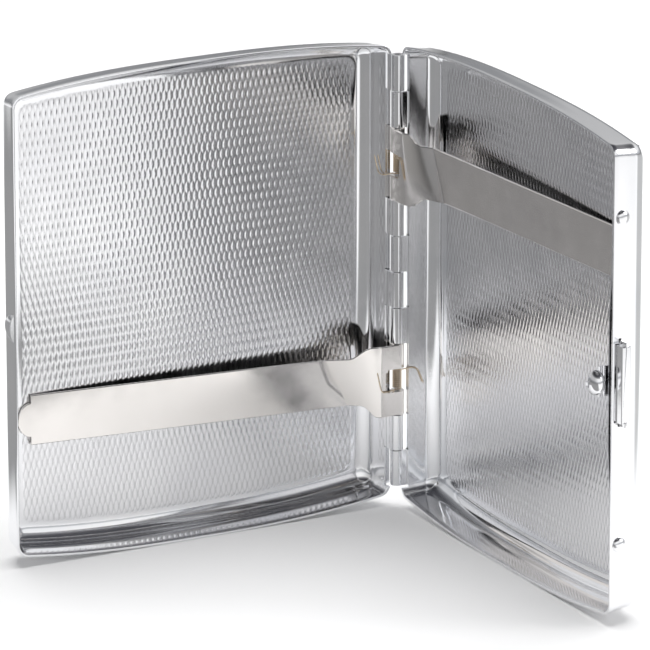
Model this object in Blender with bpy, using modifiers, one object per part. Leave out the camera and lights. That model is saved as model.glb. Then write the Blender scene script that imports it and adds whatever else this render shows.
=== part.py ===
"""Hinged metal business card case: two stamped trays, a knuckle hinge on one long pin,
two sprung card arms and a push button catch.

Units are metres, +Z up. The hinge pin is vertical. The case stands open at a right angle:
the left tray runs along -X from the pin and the right tray along -Y.
Every piece is first made in the left tray's frame, with the pin's middle at the origin,
the tray along -X and its depth along +Y. Pieces of the right tray are the same shapes
turned half a turn about the horizontal diagonal, which swaps X with Y and turns Z over.
"""
import math

import bmesh
import bpy
from mathutils import Matrix, Vector

MM = 0.001

# Trays
TRAY_WIDTH = 80.0 * MM
TRAY_HEIGHT = 94.4 * MM
ARCH_DROP = 2.45 * MM
ARCH_POWER = 2.6
CORNER_RADIUS = 2.2 * MM
DEPTH = 8.0 * MM
SHEET = 0.5 * MM
BACK_RADIUS = 3.7 * MM
DRAFT = math.radians(8.0)
RIM_GAP = 0.15 * MM

# Hinge
PIN_OFFSET = 1.2 * MM
PIN_RADIUS = 0.5 * MM
BORE_RADIUS = 0.75 * MM
KNUCKLE_RADIUS = 1.3 * MM
UNIT = 7.16 * MM
UNITS = 12
UNIT_GAP = 0.3 * MM
LEAF_THICKNESS = 0.4 * MM
LEAF_START = 1.75 * MM
LEAF_END = 5.0 * MM
LEFT_UNITS = (0, 4, 6, 10)
NOTCH_DEPTH = 2.2 * MM

# Card arms
ARM_HEIGHT = 9.8 * MM
EAR_RADIUS = 1.4 * MM
EAR_HEIGHT = 4.7 * MM
ARM_SHEET = 0.5 * MM
ARM_REACH = 76.8 * MM
LOBE_LENGTH = 2.6 * MM
LOBE_HEIGHT = 6.7 * MM
SPRING_GAP_END = 3.2 * MM

# Arm springs
WIRE_RADIUS = 0.175 * MM
COIL_RADIUS = 0.83 * MM
COIL_TURNS = 10
COIL_PITCH = 0.38 * MM
COIL_STEPS = 10

# Catch
CLEARANCE = 0.3 * MM
SLOT_LENGTH = 16.9 * MM
SLOT_WIDTH = 2.4 * MM
SLOT_CENTRE = 1.85 * MM
BUTTON_PROUD = 2.0 * MM
BUTTON_BEVEL = 0.3 * MM
FLANGE_SHEET = 0.4 * MM
SPRING_SHEET = 0.3 * MM
SPRING_WIDTH = 3.0 * MM
RIVET_SPACING = 62.6 * MM
RIVET_RADIUS = 1.45 * MM
RIVET_DEPTH = 2.1 * MM
SHANK_RADIUS = 0.45 * MM
TONGUE_REACH = 3.9 * MM
TONGUE_HEIGHT = 5.8 * MM
TONGUE_SHEET = 0.5 * MM
DOME_SIZE = (2.1 * MM, 1.5 * MM, 2.2 * MM)
POCKET_PROUD = 0.8 * MM
POCKET_LENGTH = 4.0 * MM
POCKET_HEIGHT = 5.4 * MM
POCKET_START = 0.4 * MM

# How far the trays, and the button on the right one, reach from the pin
REACH = PIN_OFFSET + TRAY_WIDTH
BUTTON_REACH = (
    REACH - SLOT_CENTRE * math.tan(DRAFT) + BUTTON_PROUD * math.cos(DRAFT)
    + (SLOT_WIDTH / 2 - CLEARANCE - BUTTON_BEVEL) * math.sin(DRAFT)
)

# The pin's middle, so that the origin is the bottom centre of the whole case
AXIS = Vector(
    (
        (REACH + POCKET_PROUD - DEPTH) / 2,
        (BUTTON_REACH - DEPTH) / 2,
        TRAY_HEIGHT / 2,
    )
)
TURN = Matrix(((0, 1, 0, 0), (1, 0, 0, 0), (0, 0, -1, 0), (0, 0, 0, 1)))
ARM_CENTRE = 3 * UNIT

CHROME = ((0.80, 0.81, 0.83), 0.08)
NICKEL = ((0.72, 0.69, 0.63), 0.18)
BRASS = ((0.78, 0.57, 0.27), 0.22)
STEEL = ((0.55, 0.55, 0.56), 0.30)


# ---------------------------------------------------------------- helpers

def clear_scene():
    for old in list(bpy.data.objects):
        bpy.data.objects.remove(old, do_unlink=True)


def new_collection(name):
    collection = bpy.data.collections.new(name)
    bpy.context.scene.collection.children.link(collection)
    return collection


def metal(name, look):
    colour, roughness = look
    material = bpy.data.materials.new(name)
    material.use_nodes = True
    shader = material.node_tree.nodes["Principled BSDF"]
    shader.inputs["Base Color"].default_value = (*colour, 1.0)
    shader.inputs["Metallic"].default_value = 1.0
    shader.inputs["Roughness"].default_value = roughness
    return material


def add_object(name, mesh, collection, look=None, right=False):
    """Link a mesh made in the left tray's frame, on the hinge axis."""
    thing = bpy.data.objects.new(name, mesh)
    collection.objects.link(thing)
    turn = TURN if right else Matrix.Identity(4)
    thing.matrix_world = Matrix.Translation(AXIS) @ turn
    if look:
        mesh.materials.append(metal(name, look))
    else:
        thing.hide_render = True
        thing.display_type = "WIRE"
    return thing


def mesh_from(bm, name):
    bmesh.ops.recalc_face_normals(bm, faces=bm.faces)
    if bm.calc_volume(signed=True) < 0:
        bmesh.ops.reverse_faces(bm, faces=bm.faces)
    mesh = bpy.data.meshes.new(name)
    bm.to_mesh(mesh)
    bm.free()
    mesh.shade_smooth()
    mesh.set_sharp_from_angle(angle=math.radians(35))
    return mesh


def block(low, high, bevel=0.0, segments=2):
    bm = bmesh.new()
    size = Vector(high) - Vector(low)
    middle = (Vector(high) + Vector(low)) / 2
    bmesh.ops.create_cube(bm, size=1.0, matrix=Matrix.Translation(middle) @ Matrix.Diagonal((*size, 1)))
    if bevel:
        bmesh.ops.bevel(bm, geom=bm.edges, offset=bevel, segments=segments, affect="EDGES")
    return bm


def rod(radius, low, high, segments=24):
    """A cylinder on the hinge axis, or on any Z line once it is moved."""
    bm = bmesh.new()
    middle = Matrix.Translation((0, 0, (low + high) / 2))
    bmesh.ops.create_cone(
        bm, cap_ends=True, segments=segments, radius1=radius, radius2=radius,
        depth=high - low, matrix=middle,
    )
    return bm


def boolean(thing, cutter, operation):
    step = thing.modifiers.new(operation.lower(), "BOOLEAN")
    step.operation = operation
    step.solver = "EXACT"
    step.object = cutter


def solidify(thing, thickness, offset):
    step = thing.modifiers.new("sheet", "SOLIDIFY")
    step.thickness = thickness
    step.offset = offset
    step.use_even_offset = True


def unit_span(index, gap=UNIT_GAP):
    """Lowest and highest Z of one hinge unit, counted from the top."""
    high = (UNITS / 2 - index) * UNIT
    return high - UNIT + gap / 2, high - gap / 2


# ---------------------------------------------------------------- trays

def arch(x, inset):
    """Height of the arched top edge above the middle, at a place along the tray."""
    across = abs(2 * (-x - PIN_OFFSET) / TRAY_WIDTH - 1)
    return TRAY_HEIGHT / 2 - ARCH_DROP * across ** ARCH_POWER - inset


def outline(inset, arch_steps=12, corner_steps=4):
    """Tray outline in X and Z: straight sides, arched top and bottom, rounded corners."""
    slope = math.atan(2 * ARCH_DROP * ARCH_POWER / TRAY_WIDTH)
    left = -PIN_OFFSET - TRAY_WIDTH + inset
    right = -PIN_OFFSET - inset
    end = left + CORNER_RADIUS * (1 - math.sin(slope))
    centre_z = arch(end, inset) - CORNER_RADIUS * math.cos(slope)
    corner = []
    for step in range(corner_steps + 1):
        angle = step / corner_steps * (math.pi / 2 - slope)
        corner.append(
            (left + CORNER_RADIUS * (1 - math.cos(angle)), centre_z + CORNER_RADIUS * math.sin(angle))
        )
    mirrored = [(left + right - x, z) for x, z in reversed(corner)]
    middle = []
    for step in range(1, arch_steps):
        x = end + (left + right - 2 * end) * step / arch_steps
        middle.append((x, arch(x, inset)))
    top = corner + middle + mirrored
    return top + [(x, -z) for x, z in reversed(top)]


def tray_rings(round_steps=4):
    """Inset and depth of each ring of the tray's outer skin, from rim to panel."""
    wall_end = DEPTH - BACK_RADIUS
    rings = [(RIM_GAP * math.tan(DRAFT), RIM_GAP), (wall_end * math.tan(DRAFT), wall_end)]
    for step in range(1, round_steps + 1):
        angle = step / round_steps * math.pi / 2
        inset = wall_end * math.tan(DRAFT) + BACK_RADIUS * (1 - math.cos(angle))
        rings.append((inset, wall_end + BACK_RADIUS * math.sin(angle)))
    return rings


def tray_skin(name):
    bm = bmesh.new()
    previous = None
    for inset, depth in tray_rings():
        verts = [bm.verts.new((x, depth, z)) for x, z in outline(inset)]
        edges = [bm.edges.new((verts[i - 1], verts[i])) for i in range(len(verts))]
        if previous:
            bmesh.ops.bridge_loops(bm, edges=previous + edges)
        previous = edges
    bmesh.ops.contextual_create(bm, geom=previous)
    return mesh_from(bm, name)


def notch_cutter(name, cutters, right):
    """Clears the hinge wall's rim along the whole barrel."""
    half = UNITS * UNIT / 2 + CLEARANCE
    low = (-PIN_OFFSET - 1.5 * MM, -1.0 * MM, -half)
    high = (1.0 * MM, NOTCH_DEPTH, half)
    return add_object(name, mesh_from(block(low, high), name), cutters, right=right)


def trim(bm, point, outward):
    """Cut a closed shape with a plane, drop its outward side and cap the cut."""
    geometry = bm.verts[:] + bm.edges[:] + bm.faces[:]
    cut = bmesh.ops.bisect_plane(
        bm, geom=geometry, plane_co=point, plane_no=outward, clear_outer=True
    )
    rim = [item for item in cut["geom_cut"] if isinstance(item, bmesh.types.BMEdge)]
    bmesh.ops.contextual_create(bm, geom=rim)


def ellipsoid(size, across=20, along=12):
    bm = bmesh.new()
    bmesh.ops.create_uvsphere(bm, u_segments=across, v_segments=along, radius=1.0)
    bmesh.ops.transform(bm, matrix=Matrix.Diagonal((*size, 1)), verts=bm.verts)
    return bm


def pocket_swelling(cutters):
    """Outside of the half moon swelling in the free wall that the catch snaps into."""
    bm = ellipsoid((POCKET_PROUD + SHEET / 2, POCKET_LENGTH, POCKET_HEIGHT / 2))
    trim(bm, (0, 0, 0), (1, 0, 0))
    trim(bm, (0, 0, 0), (0, -1, 0))
    bmesh.ops.translate(bm, vec=(-REACH + SHEET / 2, POCKET_START, 0), verts=bm.verts)
    return add_object("add_pocket", mesh_from(bm, "add_pocket"), cutters)


def pocket_hollow(cutters):
    """Inside of the same swelling, open towards the inside of the tray."""
    size = (POCKET_PROUD + SHEET / 2, POCKET_LENGTH - SHEET, POCKET_HEIGHT / 2 - SHEET)
    bm = ellipsoid(size)
    trim(bm, (0, SHEET, 0), (0, -1, 0))
    bmesh.ops.translate(bm, vec=(-REACH + 1.5 * SHEET, POCKET_START, 0), verts=bm.verts)
    return add_object("cut_pocket", mesh_from(bm, "cut_pocket"), cutters)


def wall_frame(depth, height):
    """Frame on the free wall's outer face: local X points out of it, local Y to its rim."""
    place = Matrix.Translation((-REACH + depth * math.tan(DRAFT), depth, height))
    return place @ Matrix.Rotation(math.pi - DRAFT, 4, "Z")


def slot_cutter(cutters):
    """Slot for the push button, with round ends, through the free wall."""
    bm = block(
        (-2.0 * MM, -SLOT_WIDTH / 2, -SLOT_LENGTH / 2),
        (2.0 * MM, SLOT_WIDTH / 2, SLOT_LENGTH / 2),
    )
    edges = [e for e in bm.edges if abs(e.verts[0].co.x - e.verts[1].co.x) > 1.0 * MM]
    bmesh.ops.bevel(bm, geom=edges, offset=0.8 * MM, segments=3, affect="EDGES")
    bm.transform(wall_frame(SLOT_CENTRE, 0))
    return add_object("cut_slot", mesh_from(bm, "cut_slot"), cutters, right=True)


def rivet_hole_cutter(name, height, cutters):
    bm = rod(SHANK_RADIUS + CLEARANCE, -2.0 * MM, 2.0 * MM, 16)
    bm.transform(wall_frame(RIVET_DEPTH, height) @ Matrix.Rotation(math.pi / 2, 4, "Y"))
    return add_object(name, mesh_from(bm, name), cutters, right=True)


def make_trays(parts, cutters):
    left = add_object("left_cover", tray_skin("left_cover"), parts, CHROME)
    right = add_object("right_cover", tray_skin("right_cover"), parts, CHROME, right=True)
    for tray in (left, right):
        solidify(tray, SHEET, -1.0)
    boolean(left, notch_cutter("cut_left_notch", cutters, False), "DIFFERENCE")
    boolean(right, notch_cutter("cut_right_notch", cutters, True), "DIFFERENCE")
    boolean(left, pocket_swelling(cutters), "UNION")
    boolean(left, pocket_hollow(cutters), "DIFFERENCE")
    boolean(right, slot_cutter(cutters), "DIFFERENCE")
    for name, sign in (("cut_rivet_upper", 1), ("cut_rivet_lower", -1)):
        hole = rivet_hole_cutter(name, -sign * RIVET_SPACING / 2, cutters)
        boolean(right, hole, "DIFFERENCE")


# ---------------------------------------------------------------- hinge

def leaf_strip():
    """Flat strip behind the hinge wall's outer face, along the whole barrel."""
    face = -PIN_OFFSET + CLEARANCE
    half = UNITS * UNIT / 2
    bm = block((face, LEAF_START, -half), (face + LEAF_THICKNESS, LEAF_END, half))
    for vert in bm.verts:
        vert.co.x -= vert.co.y * math.tan(DRAFT)
    return bm


def make_leaf(name, units, right, parts, cutters):
    """Leaf with its knuckles: a strip, one tab and one tube for each knuckle."""
    leaf = add_object(name, mesh_from(leaf_strip(), name), parts, CHROME, right=right)
    face = -PIN_OFFSET + CLEARANCE
    for index in units:
        low, high = unit_span(index)
        tab = block(
            (face, 0.3 * MM, low), (face + LEAF_THICKNESS, LEAF_START + 0.4 * MM, high)
        )
        for vert in tab.verts:
            vert.co.x -= vert.co.y * math.tan(DRAFT) + 0.001 * MM
        tab_name = f"{name}_tab_{index}"
        boolean(leaf, add_object(tab_name, mesh_from(tab, tab_name), cutters, right=right), "UNION")
        tube_name = f"{name}_tube_{index}"
        tube = mesh_from(rod(KNUCKLE_RADIUS, low, high), tube_name)
        boolean(leaf, add_object(tube_name, tube, cutters, right=right), "UNION")
    half = UNITS * UNIT / 2 + UNIT
    bore_name = f"{name}_bore"
    bore = mesh_from(rod(BORE_RADIUS, -half, half), bore_name)
    boolean(leaf, add_object(bore_name, bore, cutters, right=right), "DIFFERENCE")


def make_hinge(parts, cutters):
    make_leaf("left_hinge_leaf", LEFT_UNITS, False, parts, cutters)
    make_leaf("right_hinge_leaf", LEFT_UNITS, True, parts, cutters)
    half = UNITS * UNIT / 2
    pin = rod(PIN_RADIUS, -half, half)
    ends = [e for e in pin.edges if len(e.link_faces) == 2 and abs(e.verts[0].co.z - e.verts[1].co.z) < MM]
    bmesh.ops.bevel(pin, geom=ends, offset=0.15 * MM, segments=1, affect="EDGES")
    add_object("hinge_pin", mesh_from(pin, "hinge_pin"), parts, STEEL)


# ---------------------------------------------------------------- card arms

def arm_stations():
    """Distance from the pin, depth and half height of the arm's middle surface."""
    front = -EAR_RADIUS + ARM_SHEET / 2
    ear_half = UNIT - UNIT_GAP / 2
    blade_half = ARM_HEIGHT / 2
    tip_depth = DEPTH - SHEET - CLEARANCE - ARM_SHEET / 2
    blade_start, blade_depth = 10.0 * MM, 2.9 * MM
    stations = [
        (SPRING_GAP_END, front, ear_half),
        (SPRING_GAP_END + 0.5 * MM, front + 0.1 * MM, ear_half),
        (5.0 * MM, 0.1 * MM, ear_half),
        (6.4 * MM, 1.5 * MM, 5.9 * MM),
        (8.0 * MM, 2.5 * MM, blade_half + 0.1 * MM),
        (blade_start, blade_depth, blade_half),
    ]
    slope = (tip_depth - blade_depth) / (ARM_REACH - blade_start)
    shoulder = ARM_REACH - LOBE_LENGTH
    lobe = [(shoulder, blade_half), (shoulder, LOBE_HEIGHT / 2)]
    for step in range(1, 5):
        angle = step / 5 * math.pi / 2
        lobe.append((shoulder + LOBE_LENGTH * math.sin(angle), LOBE_HEIGHT / 2 * math.cos(angle)))
    lobe.append((ARM_REACH, 0.35 * MM))
    for reach, half in lobe:
        stations.append((reach, blade_depth + slope * (reach - blade_start), half))
    return stations


def arm_blade(name):
    """Blade and neck as an open surface, one crosswise edge drawn out station by station."""
    bm = bmesh.new()
    stations = arm_stations()
    reach, depth, half = stations[0]
    ends = [bm.verts.new((-reach, depth, side * half)) for side in (-1, 1)]
    edge = bm.edges.new(ends)
    for reach, depth, half in stations[1:]:
        drawn = bmesh.ops.extrude_edge_only(bm, edges=[edge])["geom"]
        edge = next(item for item in drawn if isinstance(item, bmesh.types.BMEdge)
                    and all(v not in ends for v in item.verts))
        ends = sorted(edge.verts, key=lambda v: v.co.z)
        for vert, side in zip(ends, (-1, 1)):
            vert.co = (-reach, depth, side * half)
    bmesh.ops.remove_doubles(bm, verts=bm.verts, dist=0.00001)
    return mesh_from(bm, name)


def make_arm(name, right, parts, cutters):
    """Lower arm in the left tray, or the same arm turned over in the right tray."""
    arm = add_object(name, arm_blade(name), parts, NICKEL, right=right)
    solidify(arm, ARM_SHEET, 0.0)
    ear_outer = UNIT - UNIT_GAP / 2
    front = -EAR_RADIUS
    for tag, sign in (("top", 1), ("bottom", -1)):
        span = sorted((sign * ear_outer, sign * (ear_outer - EAR_HEIGHT)))
        ear = block(
            (-SPRING_GAP_END - 0.35 * MM, front + 0.01 * MM, span[0] + 0.01 * MM),
            (0, front + ARM_SHEET, span[1] - 0.01 * MM),
        )
        ear_name = f"{name}_{tag}_ear"
        boolean(arm, add_object(ear_name, mesh_from(ear, ear_name), cutters, right=right), "UNION")
        tube_name = f"{name}_{tag}_roll"
        tube = mesh_from(rod(EAR_RADIUS, *span), tube_name)
        boolean(arm, add_object(tube_name, tube, cutters, right=right), "UNION")
    bore_name = f"{name}_bore"
    bore = mesh_from(rod(BORE_RADIUS, -2 * UNIT, 2 * UNIT), bore_name)
    boolean(arm, add_object(bore_name, bore, cutters, right=right), "DIFFERENCE")
    shift = Matrix.Translation((0, 0, -ARM_CENTRE))
    for thing in [arm] + [o for o in cutters.objects if o.name.startswith(name)]:
        thing.matrix_world = thing.matrix_world @ shift


def coil_point(step):
    """Point on the close wound coil, which climbs from its arm leg to its wall leg."""
    turn = step / COIL_STEPS
    angle = -math.pi / 2 + 2 * math.pi * turn
    height = (turn - COIL_TURNS / 2) * COIL_PITCH
    return Vector((COIL_RADIUS * math.cos(angle), COIL_RADIUS * math.sin(angle), height))


def spring_points():
    """Arm leg, coil and wall leg of one arm spring, in the left arm's frame."""
    last = COIL_STEPS * COIL_TURNS
    low, high = coil_point(0).z, coil_point(last).z
    arm_leg = [
        (-4.9 * MM, -0.9 * MM, 1.9 * MM),
        (-4.35 * MM, -1.4 * MM, low + 0.4 * MM),
        (-4.1 * MM, -1.65 * MM, low + 0.05 * MM),
        (-3.2 * MM, -1.75 * MM, low),
        (-2.2 * MM, -1.45 * MM, low),
        (-1.0 * MM, -1.0 * MM, low),
    ]
    inside = PIN_OFFSET + SHEET + CLEARANCE + WIRE_RADIUS
    wall_leg = [
        (0.5 * MM, -1.15 * MM, high + 0.05 * MM),
        (1.1 * MM, -1.75 * MM, high + 0.4 * MM),
        (1.8 * MM, -inside - 0.1 * MM, high + 0.5 * MM),
        (2.6 * MM, -inside - 0.4 * MM, high + 0.35 * MM),
        (3.4 * MM, -inside - 0.55 * MM, high - 0.3 * MM),
        (4.4 * MM, -inside - 0.7 * MM, high - 2.5 * MM),
    ]
    coil = [coil_point(step) for step in range(last + 1)]
    return [Vector(p) for p in arm_leg] + coil + [Vector(p) for p in wall_leg]


def make_arm_spring(name, right, parts):
    curve = bpy.data.curves.new(name, "CURVE")
    curve.dimensions = "3D"
    curve.bevel_depth = WIRE_RADIUS
    curve.bevel_resolution = 1
    curve.use_fill_caps = True
    spline = curve.splines.new("POLY")
    points = spring_points()
    spline.points.add(len(points) - 1)
    for item, place in zip(spline.points, points):
        item.co = (*place, 1.0)
    spring = add_object(name, curve, parts, BRASS, right=right)
    spring.matrix_world = spring.matrix_world @ Matrix.Translation((0, 0, -ARM_CENTRE))


# ---------------------------------------------------------------- catch

def make_button(parts, cutters):
    """Bar that stands out of the slot, with a flange behind the wall and a shank."""
    half = SLOT_LENGTH / 2 - CLEARANCE
    wide = SLOT_WIDTH / 2 - CLEARANCE
    inside = -SHEET - CLEARANCE
    front = BUTTON_PROUD - BUTTON_BEVEL
    bar = block((inside - FLANGE_SHEET / 2, -wide, -half), (front, wide, half))
    edges = [e for e in bar.edges if abs(e.verts[0].co.x - e.verts[1].co.x) > MM]
    bmesh.ops.bevel(bar, geom=edges, offset=0.7 * MM, segments=3, affect="EDGES")
    bar.normal_update()
    face = [f for f in bar.faces if f.normal.x > 0.9]
    bmesh.ops.inset_region(bar, faces=face, thickness=BUTTON_BEVEL, depth=BUTTON_BEVEL)
    bar.transform(wall_frame(SLOT_CENTRE, 0))
    button = add_object("push_button", mesh_from(bar, "push_button"), parts, CHROME, right=True)
    flange = block(
        (inside - FLANGE_SHEET, -SLOT_WIDTH / 2 - 0.3 * MM, -half - MM),
        (inside, SLOT_WIDTH / 2, half + MM),
    )
    flange.transform(wall_frame(SLOT_CENTRE, 0))
    piece = add_object("add_flange", mesh_from(flange, "add_flange"), cutters, right=True)
    boolean(button, piece, "UNION")


def spring_profile():
    """Height along the wall and distance behind its outer face of the leaf spring."""
    near = -SHEET - CLEARANCE - SPRING_SHEET / 2
    far = -SHEET - 2 * CLEARANCE - FLANGE_SHEET - SPRING_SHEET / 2
    end = RIVET_SPACING / 2 + 2.2 * MM
    bend_start, bend_end = 24.0 * MM, 12.0 * MM
    half = [(end, near), (bend_start, near), (bend_end, far)]
    return half + [(-z, x) for z, x in reversed(half)]


def make_catch_spring(parts, cutters):
    bm = bmesh.new()
    rows = []
    for z, x in spring_profile():
        rows.append([bm.verts.new((x, side * SPRING_WIDTH / 2, z)) for side in (-1, 1)])
    for first, second in zip(rows, rows[1:]):
        bm.faces.new((first[0], first[1], second[1], second[0]))
    bm.transform(wall_frame(RIVET_DEPTH, 0))
    spring = add_object("catch_spring", mesh_from(bm, "catch_spring"), parts, STEEL, right=True)
    solidify(spring, SPRING_SHEET, 0.0)
    for tag, sign in (("upper", 1), ("lower", -1)):
        name = f"cut_spring_{tag}"
        hole = rivet_hole_cutter(name, -sign * RIVET_SPACING / 2, cutters)
        boolean(spring, hole, "DIFFERENCE")
    hole = rod(0.9 * MM, -4.0 * MM, 0, 16)
    hole.transform(wall_frame(SLOT_CENTRE, 0) @ Matrix.Rotation(math.pi / 2, 4, "Y"))
    middle = add_object("cut_spring_middle", mesh_from(hole, "cut_spring_middle"), cutters, right=True)
    boolean(spring, middle, "DIFFERENCE")


def make_tongue(parts, cutters):
    """Tab behind the leaf spring, with a stub to the button and a dome beyond the rim."""
    back = -SHEET - 3 * CLEARANCE - FLANGE_SHEET - SPRING_SHEET
    tip = SLOT_CENTRE + TONGUE_REACH
    low = (back - TONGUE_SHEET, -1.6 * MM, -TONGUE_HEIGHT / 2)
    bm = block(low, (back, tip, TONGUE_HEIGHT / 2))
    ends = [
        e for e in bm.edges
        if abs(e.verts[0].co.x - e.verts[1].co.x) > 0.1 * MM and e.verts[0].co.y > 0
    ]
    bmesh.ops.bevel(bm, geom=ends, offset=2.6 * MM, segments=5, affect="EDGES")
    frame = Matrix.Translation((-REACH + SLOT_CENTRE * math.tan(DRAFT), SLOT_CENTRE, 0))
    frame = frame @ Matrix.Rotation(math.pi, 4, "Z")
    bm.transform(frame)
    tongue = add_object("catch_tongue", mesh_from(bm, "catch_tongue"), parts, CHROME, right=True)
    dome = ellipsoid(DOME_SIZE)
    trim(dome, (-0.2 * MM, 0, 0), (-1, 0, 0))
    bmesh.ops.translate(dome, vec=(back, tip - TONGUE_REACH / 2, 0), verts=dome.verts)
    stub = rod(0.6 * MM, back - 0.1 * MM, back + CLEARANCE + SPRING_SHEET + 0.15 * MM, 16)
    stub.transform(Matrix.Rotation(math.pi / 2, 4, "Y"))
    for name, shape in (("add_dome", dome), ("add_stub", stub)):
        shape.transform(frame)
        piece = add_object(name, mesh_from(shape, name), cutters, right=True)
        boolean(tongue, piece, "UNION")


def make_rivet(name, sign, parts, cutters):
    """Domed head outside the wall, shank through wall and spring, peened tail inside."""
    tail = -SHEET - 2 * CLEARANCE - SPRING_SHEET
    place = wall_frame(RIVET_DEPTH, -sign * RIVET_SPACING / 2)
    place = place @ Matrix.Rotation(math.pi / 2, 4, "Y")
    shank = rod(SHANK_RADIUS, tail - 0.3 * MM, 0.4 * MM, 16)
    shank.transform(place)
    rivet = add_object(name, mesh_from(shank, name), parts, CHROME, right=True)
    head = ellipsoid((RIVET_RADIUS, RIVET_RADIUS, 0.85 * MM), 16, 10)
    trim(head, (0, 0, CLEARANCE / 3), (0, 0, -1))
    peen = rod(0.95 * MM, tail - 0.35 * MM, tail, 16)
    for tag, shape in (("head", head), ("peen", peen)):
        shape.transform(place)
        part_name = f"{name}_{tag}"
        piece = add_object(part_name, mesh_from(shape, part_name), cutters, right=True)
        boolean(rivet, piece, "UNION")


def main():
    clear_scene()
    parts = new_collection("business_card_case")
    cutters = new_collection("cutters")
    make_trays(parts, cutters)
    make_hinge(parts, cutters)
    make_arm("lower_arm", False, parts, cutters)
    make_arm("upper_arm", True, parts, cutters)
    make_arm_spring("lower_arm_spring", False, parts)
    make_arm_spring("upper_arm_spring", True, parts)
    make_button(parts, cutters)
    make_catch_spring(parts, cutters)
    make_tongue(parts, cutters)
    make_rivet("rivet_upper", 1, parts, cutters)
    make_rivet("rivet_lower", -1, parts, cutters)


main()
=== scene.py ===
"""Looks of the hinged metal business card case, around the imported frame.

Shapes are made in the left tray's own frame, in metres, with the middle of the hinge pin
at the origin, the tray along -X and its depth along +Y. Pieces of the right tray are the
same shapes turned half a turn about the horizontal diagonal.
"""
import math

import bmesh
import bpy
import numpy as np
from mathutils import Matrix, Vector


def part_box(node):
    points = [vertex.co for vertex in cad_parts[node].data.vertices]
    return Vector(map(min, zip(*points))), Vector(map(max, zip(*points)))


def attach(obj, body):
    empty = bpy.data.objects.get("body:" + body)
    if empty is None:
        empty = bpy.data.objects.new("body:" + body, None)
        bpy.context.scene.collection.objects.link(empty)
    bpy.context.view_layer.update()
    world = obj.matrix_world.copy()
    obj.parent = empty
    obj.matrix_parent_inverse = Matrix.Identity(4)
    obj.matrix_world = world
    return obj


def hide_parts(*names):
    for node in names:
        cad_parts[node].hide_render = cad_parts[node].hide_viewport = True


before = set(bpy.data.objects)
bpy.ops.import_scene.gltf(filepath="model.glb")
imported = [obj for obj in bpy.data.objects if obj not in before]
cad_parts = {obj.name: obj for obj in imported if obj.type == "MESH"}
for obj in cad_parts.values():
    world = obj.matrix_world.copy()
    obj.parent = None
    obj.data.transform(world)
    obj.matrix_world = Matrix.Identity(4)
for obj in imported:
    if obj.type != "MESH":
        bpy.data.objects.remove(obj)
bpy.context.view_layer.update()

MM = 0.001

# Sizes that the CAD model has too
PIN_OFFSET = 1.2 * MM
PIN_RADIUS = 0.5 * MM
WIDTH = 80.0 * MM
HEIGHT = 94.4 * MM
ARCH_DROP = 2.45 * MM
ARCH_POWER = 2.6
CORNER = 2.2 * MM
DEPTH = 8.0 * MM
SHEET = 0.5 * MM
BACK_RADIUS = 3.7 * MM
DRAFT = math.radians(8.0)
RIM_GAP = 0.15 * MM
REACH = PIN_OFFSET + WIDTH
UNIT = 7.16 * MM
UNITS = 12
LEFT_UNITS = (0, 4, 6, 10)
KNUCKLE_RADIUS = 1.3 * MM
LEAF_END = 5.0 * MM
ARM_CENTRE = 3 * UNIT
ARM_SHEET = 0.5 * MM
ARM_HALF = 4.9 * MM
LOBE_LENGTH = 2.6 * MM
LOBE_HALF = 3.35 * MM
EAR_RADIUS = 1.4 * MM
WINDOW_END = 3.2 * MM
COIL_TURNS = 10
SLOT_LENGTH = 16.9 * MM
SLOT_WIDTH = 2.4 * MM
SLOT_DEPTH = 1.85 * MM
BUTTON_PROUD = 2.0 * MM
SPRING_SHEET = 0.3 * MM
SPRING_HALF = 1.5 * MM
RIVET_SPACING = 62.6 * MM
RIVET_DEPTH = 2.1 * MM
RIVET_RADIUS = 1.45 * MM
SHANK_RADIUS = 0.45 * MM
TONGUE_REACH = 3.9 * MM
TONGUE_HALF = 2.9 * MM
TONGUE_SHEET = 0.5 * MM
POCKET_START = 0.4 * MM

# Sizes that differ from the CAD model by up to 1 mm, or that only the looks have
UNIT_GAP = 0.12 * MM
BORE_RADIUS = 0.62 * MM
LEAF_START = 1.5 * MM
LEAF_GAP = 0.03 * MM
LEAF_SHEET = 0.65 * MM
TAB_START, TAB_END = 0.3 * MM, 2.1 * MM
ARM_REACH = 77.4 * MM
EAR_HALF = UNIT - 0.1 * MM
EAR_HEIGHT = 4.75 * MM
DIP_START, DIP_END = 4.2 * MM, 11.6 * MM
DIP_DEPTH = 2.85 * MM
CREASE_SKEW = 2.4 * MM
NECK_START, NECK_LENGTH = 5.2 * MM, 3.3 * MM
TIP_GAP = 0.12 * MM
LOWER_TIP_LIFT = 1.0 * MM
WIRE = 0.13 * MM
COIL_RADIUS = 0.80 * MM
COIL_PITCH = 0.385 * MM
NOTCH_DEPTH = 1.5 * MM
SLOT_CORNER = 0.9 * MM
BUTTON_CORNER = 0.8 * MM
BUTTON_END_GAP, BUTTON_SIDE_GAP = 0.27 * MM, 0.21 * MM
BUTTON_STEPS = ((0.18 * MM, 0.05 * MM), (0.08 * MM, 0.08 * MM), (0.04 * MM, 0.16 * MM))
NEAR_GAP, FAR_GAP = 0.6 * MM, 1.3 * MM
BOW_START, BOW_LENGTH = 11.0 * MM, 13.0 * MM
RIVET_HEIGHT = 0.8 * MM
DOME_SIZE = (2.1 * MM, 1.6 * MM, 2.4 * MM)
SWELL_SIZE = (1.0 * MM, 4.0 * MM, 2.7 * MM)
SWELL_SINK = 0.25 * MM
HOLLOW_SIZE = (1.0 * MM, 3.6 * MM, 2.45 * MM)
HOLLOW_SINK = 0.75 * MM

# Radius on the axis of a turned part that has no bore
NO_BORE = 1e-7

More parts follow.
